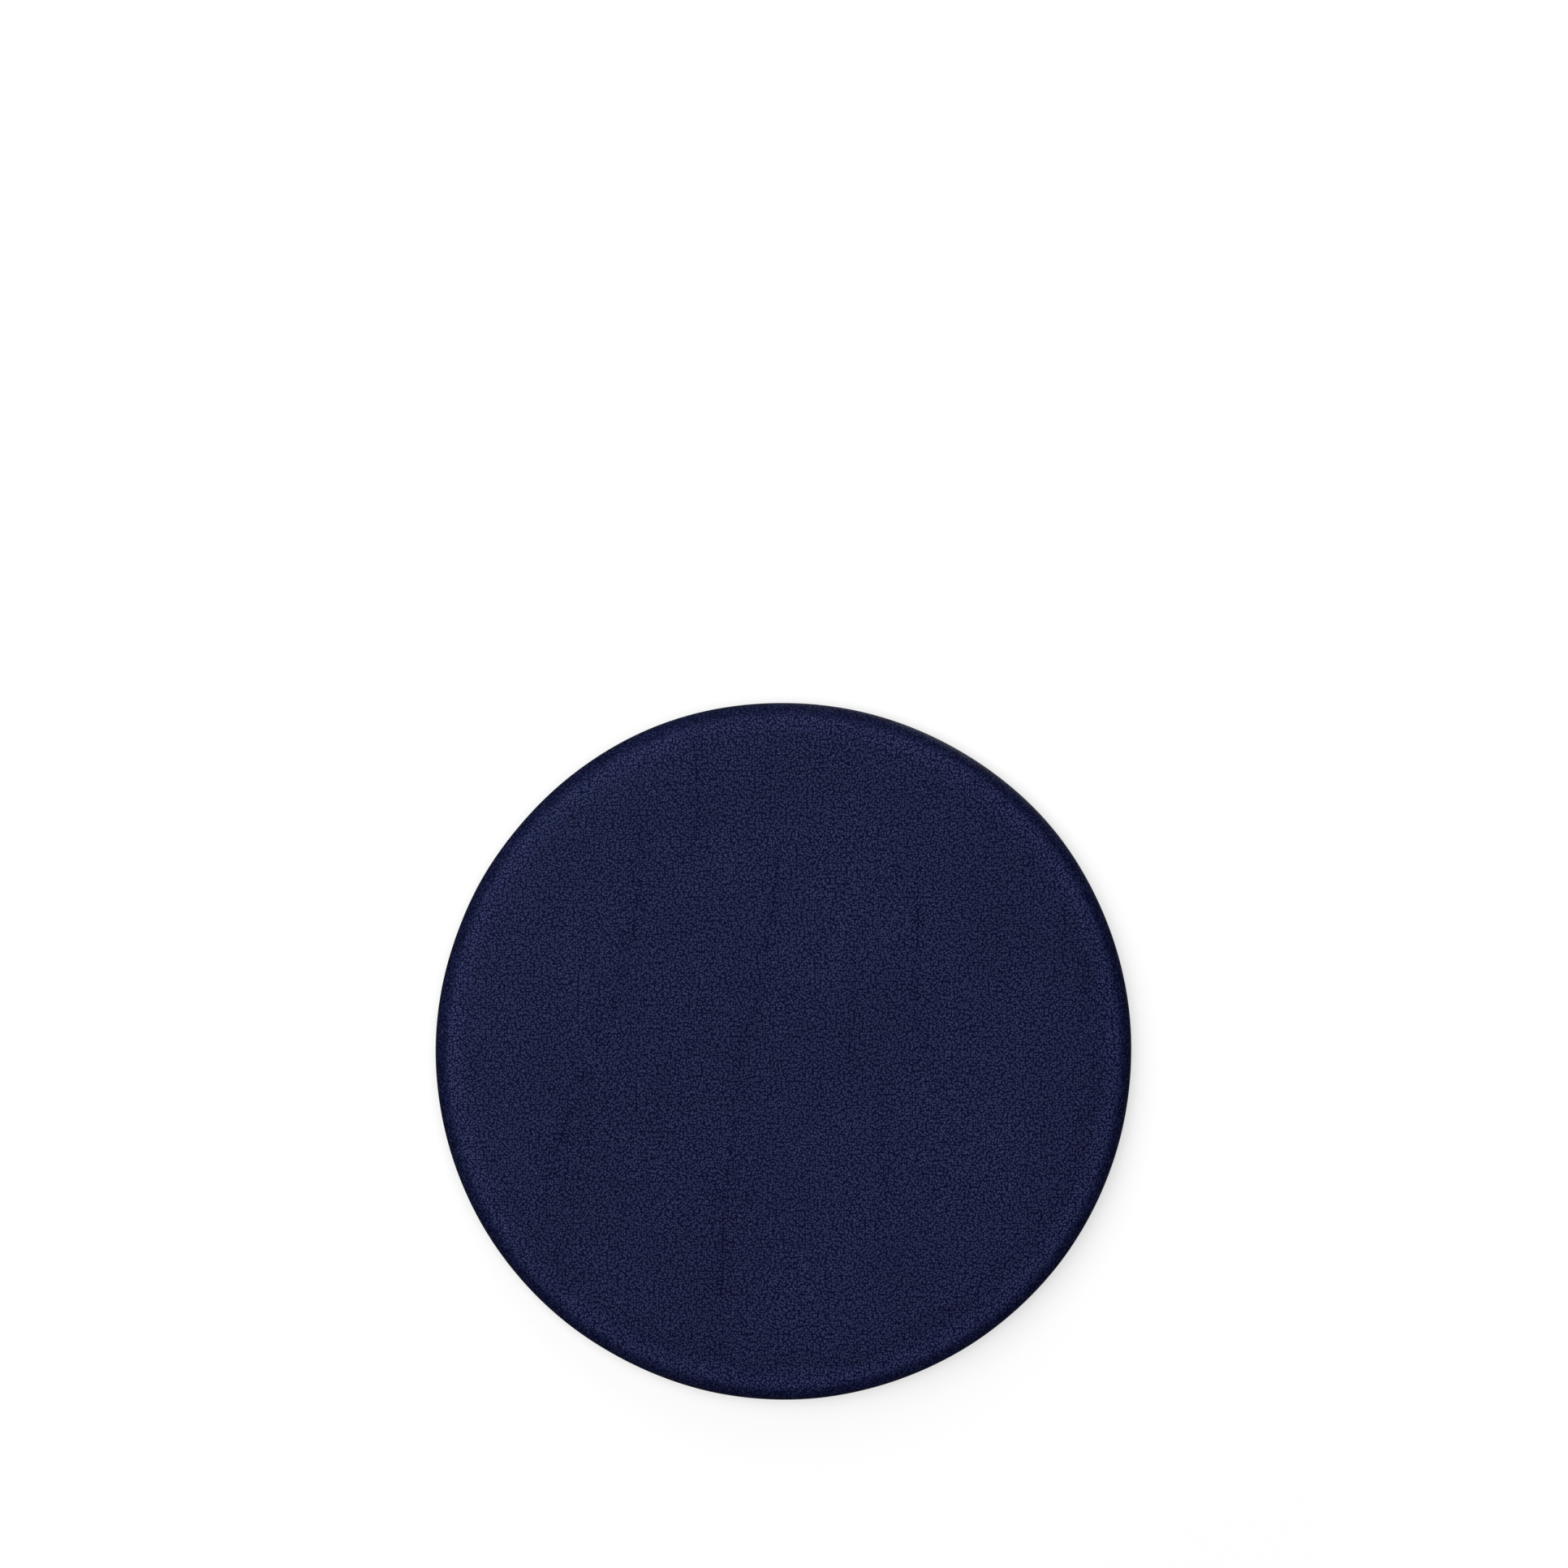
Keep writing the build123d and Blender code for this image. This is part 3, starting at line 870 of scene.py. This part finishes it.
def rubber_dots(name, node, side):
    """Rows of dots over one panel, clear of its edges and of the label."""
    row_height = DOT_PITCH * sqrt(3) / 2
    clear = DOT_RADIUS * 1.3
    reach = GRIP_RADIUS - clear
    parts = []
    rows, columns = round(GRIP_RADIUS / row_height) + 1, round(GRIP_RADIUS / DOT_PITCH) + 1
    for j in range(-rows, rows + 1):
        for i in range(-columns, columns + 1):
            x = (i + 0.5 * (j % 2)) * DOT_PITCH
            y = j * row_height
            off_panel = y > GRIP_FRONT - clear if side < 0 else y < GRIP_REAR + clear
            beside = (abs(x - LABEL_MIDDLE.x) - LABEL_HALF.x, abs(y - LABEL_MIDDLE.y) - LABEL_HALF.y)
            if hypot(x, y) > reach or off_panel or max(beside) < LABEL_MARGIN:
                continue
            size = 1 + 0.05 * unevenness(x, y, 300, 0.5)
            shift_x, shift_y = (0.10 * MM * unevenness(x, y, 200, seed) for seed in (7.5, 9.5))
            parts.append(dot(x + shift_x, y + shift_y, size))
    add_piece(name, *join_parts(parts), "grip_rubber", node)


rubber_dots("dots_front", "grip_layer_front", -1)
rubber_dots("dots_rear", "grip_layer_rear", 1)

# Sewing ----------

turns = [2 * pi * i / RING_STITCHES for i in range(RING_STITCHES)]
stitches("hem_seam", "hem_stitches", [(*polar(STITCH_RING, a), a + pi / 2) for a in turns])

ROW_STITCHES = round(2 * WINDOW_END / STITCH_PITCH)
for side, end in ((-1, "front"), (1, "rear")):
    y = ZIP_Y + side * TAPE_ROW
    row = [((i - (ROW_STITCHES - 1) / 2) * STITCH_PITCH, y, 0.0) for i in range(ROW_STITCHES)]
    stitches("zip_seam_" + end, "zip_stitches_" + end, row)

# A bar of slanting stitches across each end of the window
bartack_low, bartack_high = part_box("zip_end_bartacks")
BARTACK_STITCHES = 26
BARTACK_SLANT = 0.16
bar_places = []
for end in (-1, 1):
    for i in range(BARTACK_STITCHES):
        y = bartack_low.y + (bartack_high.y - bartack_low.y) * (i + 0.5) / BARTACK_STITCHES
        slant = BARTACK_SLANT if i % 2 else -BARTACK_SLANT
        bar_places.append((end * (bartack_high.x - 0.8 * MM), y, slant))
stitches("bartacks", "zip_end_bartacks", bar_places, "navy_thread", 2.1 * MM, 0.66 * MM, 0.36 * MM)

# Care label ----------


def care_label():
    """A blank woven label, its two long edges sewn down and its corners a little curled."""
    columns, rows = 45, 31

    def place(i, j):
        u, v = 2 * i / (columns - 1) - 1, 2 * j / (rows - 1) - 1
        x, y = LABEL_MIDDLE.x + LABEL_HALF.x * u, LABEL_MIDDLE.y + LABEL_HALF.y * v
        edge = max(abs(u) ** 24, abs(v) ** 24)
        sewn = exp(-(((abs(v) - 0.85) / 0.10) ** 2))
        curl = 0.16 * MM * abs(u) ** 6 * abs(v) ** 3
        wave = 0.05 * MM * unevenness(x, y, 110, 4.0)
        bottom = label_low.z + 0.10 * MM + (0.10 * sewn) * MM - curl + wave
        return x, y, bottom + 0.07 * MM * edge, bottom + (0.24 - 0.10 * edge) * MM

    form = slab(columns, rows, place)
    label = add_piece("woven_label", *form, "label_fabric", "care_label")


def label_stitches():
    """A row of small stitches along each long edge of the label."""
    low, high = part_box("care_label_stitches")
    count, pitch = 9, 3.4 * MM
    across = [LABEL_MIDDLE.x + (i - (count - 1) / 2) * pitch for i in range(count)]
    places = [(x, y, 0.0) for y in (low.y + 0.25 * MM, high.y - 0.25 * MM) for x in across]
    size = (2.6 * MM, 0.5 * MM, 0.26 * MM)
    stitches("label_seam", "care_label_stitches", places, "label_thread", *size)


care_label()
label_stitches()

# Zip ----------


def part_with_zip(piece):
    """Gives a piece its own copy of its mesh."""
    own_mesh(piece)


def split_at(x):
    """How far each coil and tape edge stands aside at x, in front of the slider."""
    return COIL_SPREAD * smooth(x, SPLIT_START, SPLIT_END)


TAPE_THICKNESS = 0.5 * MM
TAPE_OUTER = 14 * MM
TAPE_LEVEL_TO = 4.3 * MM  # level beside the coils, then down to the panels
TAPE_SEWN_FROM = 8.0 * MM
# Where its points stand, as shares of its width
TAPE_SHARES = (0.0, 0.012, 0.05, 0.12, 0.20, 0.28, 0.34, 0.40, 0.46, 0.52, 0.58, 0.66, 0.76, 0.88, 0.97, 1.0)


def zip_tape(name, node, side):
    """Herringbone tape: level under the coil, then down in a soft curve to the panel."""
    level, sewn = tape_high.z - TAPE_THICKNESS, tape_low.z
    length = round((tape_high.x - tape_low.x) / (1 * MM))

    def place(i, j):
        x = tape_low.x + (tape_high.x - tape_low.x) * i / length
        web = 0.55 * MM * exp(-(((x - coil_low.x + 1.4 * MM) / (1.5 * MM)) ** 2))
        rejoined = 1 - smooth(x, coil_high.x + 3 * MM, tape_high.x - 2 * MM)
        inner = max(0.1 * MM + split_at(x) * rejoined, web)
        share = TAPE_SHARES[j]
        y = inner + (TAPE_OUTER - inner) * share
        drop = smooth(y, TAPE_LEVEL_TO, TAPE_SEWN_FROM)
        ripple = 0.05 * MM * sin(x * 900) * (1 - drop) * smooth(y, 3 * MM, 5 * MM)
        z = level + (sewn - level) * drop + ripple
        thin = 0.14 * MM if share in (0.0, 1.0) else 0.0
        return x, ZIP_Y + side * y, z + thin, z + TAPE_THICKNESS - thin

    form = slab(length + 1, len(TAPE_SHARES), place)
    piece = add_piece(name, *form, "zip_tape", node)
    part_with_zip(piece)


def zip_coil(name, node, side):
    """A nylon filament wound into a flattened helix, its heads reaching in between the other's."""
    filament = 0.28 * MM
    pitch = 1.25 * MM
    per_turn, around = 16, 7
    outer_edge = 2.1 * MM
    middle_z = (coil_low.z + coil_high.z) / 2
    half_height = (coil_high.z - coil_low.z) / 2 - filament
    turns = (coil_high.x - coil_low.x - 2 * filament) / pitch
    steps = round(turns * per_turn)
    phase = 0.0 if side > 0 else pi
    points = []
    for k in range(steps + 1):
        angle = 2 * pi * k / per_turn
        x = coil_low.x + filament + k * pitch / per_turn
        aside = split_at(x)
        head = 0.05 * MM - 0.35 * MM * (1 - aside / COIL_SPREAD)
        half_width = (outer_edge - head) / 2 - filament
        c, s = cos(angle + phase), sin(angle + phase)
        # A flattened loop, its turns leaning so that the heads stand square to the tape
        y = aside + (outer_edge + head) / 2 - half_width * copysign(abs(c) ** 0.8, c)
        z = middle_z - half_height * copysign(abs(s) ** 0.8, s)
        lean = 0.10 * MM * sin(2 * (angle + phase))
        wider = 1 + 0.22 * max(0.0, c) ** 6  # the heads are pressed
        for i in range(around):
            turn = 2 * pi * i / around
            out, on = cos(turn) * filament, sin(turn) * filament * wider
            points.append((x + lean + on, ZIP_Y + side * (y - c * out), z - s * out))
    piece = add_piece(name, points, tube_faces(steps + 1, around), "zip_nylon", node)
    part_with_zip(piece)


def top_stop(name, side, *replaced):
    """A metal clip pinched over the tape's edge, past the coil."""
    low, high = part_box("zip_top_stops")
    inner, outer = 0.7 * MM, 3.3 * MM
    web = 1.2 * MM  # where the tape's edge lies
    tape_bottom = tape_high.z - TAPE_THICKNESS
    pinch = 0.12 * MM
    profile = (
        (inner + 0.25 * MM, low.z), (outer - 0.2 * MM, low.z + 0.15 * MM),
        (outer, low.z + 0.7 * MM), (outer - 0.1 * MM, tape_bottom + pinch),
        (web + 0.5 * MM, tape_bottom), (web, tape_bottom + 0.1 * MM),
        (web, tape_high.z - 0.1 * MM), (web + 0.5 * MM, tape_high.z),
        (outer - 0.1 * MM, tape_high.z - pinch), (outer, high.z - 0.2 * MM),
        (outer - 0.3 * MM, high.z), (inner + 0.25 * MM, high.z),
        (inner, high.z - 0.5 * MM), (inner, low.z + 0.5 * MM),
    )
    n = len(profile)
    points = [(x, ZIP_Y + side * y, z) for x in (low.x, high.x) for y, z in profile]
    faces = [(i, (i + 1) % n, (i + 1) % n + n, i + n) for i in range(n)]
    faces += [tuple(reversed(range(n))), tuple(range(n, 2 * n))]
    piece = add_piece(name, points, faces, "zip_metal", *replaced)
    soften_edges(piece, 0.14 * MM)
    apply_modifiers(piece)
    part_with_zip(piece)


for side, end in ((-1, "front"), (1, "rear")):
    zip_tape("tape_" + end, "zip_tape_" + end, side)
    zip_coil("coil_" + end, "zip_coil_" + end, side)
top_stop("top_stop_front", -1, "zip_top_stops")
top_stop("top_stop_rear", 1)

# The slider, its tab and the bottom stop keep their CAD shapes, with their edges tumbled round
for node in ("zip_slider", "zip_pull", "zip_bottom_stop"):
    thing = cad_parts[node]
    for part_slot in thing.material_slots:
        part_slot.material = MATERIALS["zip_metal"]
    weld = thing.modifiers.new("weld", "WELD")
    weld.merge_threshold = 0.002 * MM
    soften_edges(thing, 0.10 * MM, angle=35)

# Insert ----------

# Depths inside the cover's outside
BAG_INSET = 2.5 * MM
BAG_THICKNESS = 0.4 * MM
TOPPER_INSET = 2.95 * MM
TOPPER_THICKNESS = 4 * MM
SLAB_INSET = TOPPER_INSET + TOPPER_THICKNESS + 0.15 * MM
FOOT_RADIUS = 158 * MM  # inside this the insert stands on the base panels
FOOT_LEVEL = PANEL_TOP + 0.05 * MM
TRENCH_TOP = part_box("insert_casing")[0].z + 4.6 * MM
TRENCH_ENDS = (143 * MM, 147 * MM)
# The trench leaves room for the tapes as they part, and the insert steps up over their sewn edges
TRENCH_WALL = (9.2 * MM, 12.6 * MM)
TAPE_BED = (17.6 * MM, 19.6 * MM)


def trench_level(x, y, skin=0.0):
    """Height of the insert's underside, which the zip presses up."""
    wider = 2 * skin
    across = abs(y - ZIP_Y) - wider
    along = 1 - smooth(abs(x) - wider, *TRENCH_ENDS)
    bed = 0.65 * MM * (1 - smooth(across, *TAPE_BED))
    wall = (TRENCH_TOP - FOOT_LEVEL - 0.65 * MM) * (1 - smooth(across, *TRENCH_WALL))
    return FOOT_LEVEL + skin + (bed + wall) * along


def trench_lines(foot, skin=0.0):
    """Rows of points along the trench's edges and across its ends, within the foot's radius."""
    lines = []
    for offset in (*TRENCH_WALL, sum(TRENCH_WALL) / 2, *TAPE_BED):
        for side in (-1, 1):
            y = ZIP_Y + side * (offset + 2 * skin)
            reach = min(TRENCH_ENDS[1], sqrt((foot - 4 * MM) ** 2 - y * y))
            steps = round(2 * reach / (4 * MM))
            lines.append([(reach * (2 * i / steps - 1), y) for i in range(steps + 1)])
    for x in (TRENCH_ENDS[0], TRENCH_ENDS[0] + 1.6 * MM):
        for end in (-1, 1):
            row = [(end * (x + 2 * skin), ZIP_Y + k * 2.4 * MM) for k in range(-3, 4)]
            lines.append([p for p in row if hypot(*p) < foot - 1.2 * MM])
    return lines


def insert_form(top_inset, toe_inset, skin):
    """The insert's outside, or a surface inside it: skin is its depth at the underside."""
    rings = seat_rings(top_inset) + toe_rings(toe_inset)
    rings[-1] = (FOOT_RADIUS - skin + 0.6 * MM, rings[-1][1])
    rings.append((FOOT_RADIUS - skin, FOOT_LEVEL + skin + 0.5 * MM))
    rings.append((FOOT_RADIUS - skin - 0.6 * MM, FOOT_LEVEL + skin))
    form = disc_form(lambda r: seat_height(r) - top_inset, rings)
    points, faces, ring = form
    # The trench runs out through the foot's edge, whose three rings clear the tapes' corners
    for step, rise in enumerate((0, 0.5 * MM, 1.0 * MM)):
        for i in ring:
            k = i - step * len(ring)
            x, y, z = points[k]
            points[k] = (x, y, max(z, trench_level(x, y, skin) + rise))
    foot = FOOT_RADIUS - skin - 0.6 * MM
    return close_below(*form, lambda x, y: trench_level(x, y, skin), trench_lines(foot, skin))


# The insert's thin unwoven bag
form = insert_form(BAG_INSET, BAG_INSET, 0.0)
bag = add_piece("insert_bag", *form, "casing_fabric", "insert_casing")
thicken(bag, BAG_THICKNESS)
apply_modifiers(bag)

# Wadding laid over the foam and down round its edge, to just above the foam's widest part
form = disc_form(lambda r: seat_height(r) - TOPPER_INSET, seat_rings(TOPPER_INSET)[:-1])
topper = add_piece("fibre_topper", *form[:2], "wadding", "topper_wadding")
thicken(topper, TOPPER_THICKNESS)
apply_modifiers(topper)

# Cut foam, with a little slack in the bag below it
form = insert_form(SLAB_INSET, TOPPER_INSET, 2 * BAG_THICKNESS)
foam = add_piece("foam_slab", *form, "foam", "foam_core")

# Floor, light and camera ----------

LENS = 110  # mm
SENSOR = 36  # mm
FRAME_WIDTH = 787.56 * MM  # what the camera sees across, at half the pad's height
# Softboxes: name, azimuth from +X and elevation in degrees, distance, size, power in watts, and
# whether smooth surfaces mirror it
SOFTBOXES = (
    ("key", 150, 60, 2.2, 2.0, 36.5, True),
    ("low", 90, 28, 2.4, 1.4, 19, True),
    ("side", -40, 58, 2.4, 1.4, 7, True),
    ("overhead", 0, 90, 2.6, 2.4, 41, False),
    ("under", 110, -66, 2.0, 1.4, 34, False),
    ("under_fill", 0, -84, 2.2, 2.6, 8, True),
    ("glint", 60, -42, 2.0, 0.8, 5, True),
)


def floor_finish():
    """A table that glows as painted light: its glow keeps the shadow soft and pale. From below it is clear.
    """
    paint = Paint("floor")
    tone = paint.mix(paint.grain(3, 2.0), (0.345, 0.345, 0.345), (0.355, 0.355, 0.355))
    # painted light: the floor glows, filling in the pad's shadow, and glows more far from the pad
    glow = paint.step(paint.radius(), 0.19, 1.6, 0.54, 0.86)
    paint.set(Base_Color=tone, Roughness=0.9, Specular_IOR_Level=0.1)
    paint.set(Emission_Color=(1.0, 1.0, 1.0), Emission_Strength=glow)
    clear = paint.node("BsdfTransparent")
    below = paint.node("NewGeometry").outputs["Backfacing"]
    sides = paint.node("MixShader", {"Fac": below})
    paint.feed(sides.inputs[1], paint.shader.outputs[0])
    paint.feed(sides.inputs[2], clear.outputs[0])
    paint.feed(paint.output.inputs[0], sides.outputs[0])


def add_floor():
    half = 4.0  # metres
    level = -0.02 * MM  # a hair under the dots, whose faces it would hide from below
    corners = [(x * half, y * half, level) for x, y in ((-1, -1), (1, -1), (1, 1), (-1, 1))]
    floor_finish()
    floor = add_object("floor", new_mesh("floor", corners, [(0, 1, 2, 3)], "floor"))
    # Rays that leave the pad don't meet the floor, as over a lightbox of its own
    floor.visible_diffuse = False
    floor.visible_glossy = False
    floor.visible_shadow = False


def add_room():
    """The room gives a little light, and looks pale past the floor's edge."""
    world = bpy.data.worlds.new("studio")
    world.use_nodes = True
    tree = world.node_tree
    seen = tree.nodes.new("ShaderNodeLightPath").outputs["Is Camera Ray"]
    strength = tree.nodes.new("ShaderNodeMapRange")
    strength.inputs["To Min"].default_value = 0.10
    strength.inputs["To Max"].default_value = 0.90
    background = tree.nodes["Background"]
    background.inputs["Color"].default_value = (1, 1, 1, 1)
    tree.links.new(seen, strength.inputs["Value"])
    tree.links.new(strength.outputs["Result"], background.inputs["Strength"])
    bpy.context.scene.world = world


def softbox(name, azimuth, elevation, distance, size, power, mirrored):
    """A round soft light that faces the pad."""
    a, e = radians(azimuth), radians(elevation)
    place = Vector((cos(a) * cos(e), sin(a) * cos(e), sin(e))) * distance
    lamp = bpy.data.lights.new(name, "AREA")
    lamp.shape = "DISK"
    lamp.size = size
    lamp.energy = power
    thing = add_object(name, lamp)
    thing.location = place
    thing.rotation_euler = (-place).to_track_quat("-Z", "Y").to_euler()
    thing.visible_glossy = mirrored


def add_camera():
    """The camera looks straight down. The pad lies below the middle of its frame."""
    scene = bpy.context.scene
    eye = bpy.data.cameras.new("camera")
    eye.sensor_width = SENSOR
    eye.lens = LENS
    camera = add_object("camera", eye)
    camera.location = (0.163 * MM, 134.195 * MM, FRAME_WIDTH * LENS / SENSOR + CROWN / 2)
    scene.camera = camera
    scene.view_settings.view_transform = "Standard"


add_floor()
add_room()
for lamp in SOFTBOXES:
    softbox(*lamp)
add_camera()
